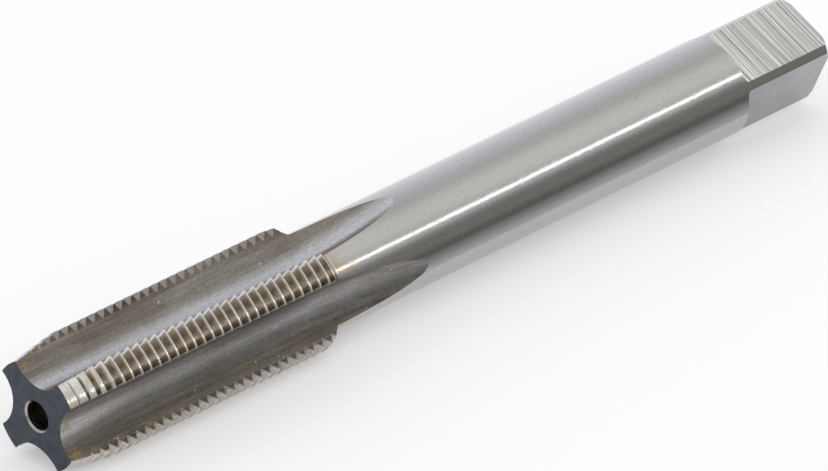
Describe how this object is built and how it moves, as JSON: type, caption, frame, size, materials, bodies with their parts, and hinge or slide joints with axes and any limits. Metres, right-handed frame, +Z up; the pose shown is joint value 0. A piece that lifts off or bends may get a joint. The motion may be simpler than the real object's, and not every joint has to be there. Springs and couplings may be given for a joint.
{
  "type": "thread tap",
  "caption": "Straight-fluted hand tap for cutting an internal screw thread, with a tapered lead, threaded lands, a plain round shank and a square driving end.",
  "frame": {"origin": "centre of the front end face, on the tap's axis", "axes": "+X along the axis from the cutting end to the driving square, +Z up with the tap lying on two of its four lands"},
  "size_m": [0.1107, 0.012, 0.012],
  "materials": {
    "tool_steel": "ground high-speed steel, bright on the shank and the square, with straw to brown staining in the thread and flutes"
  },
  "bodies": {
    "root": {"hand_tap": "tool_steel"}
  },
  "joints": []
}
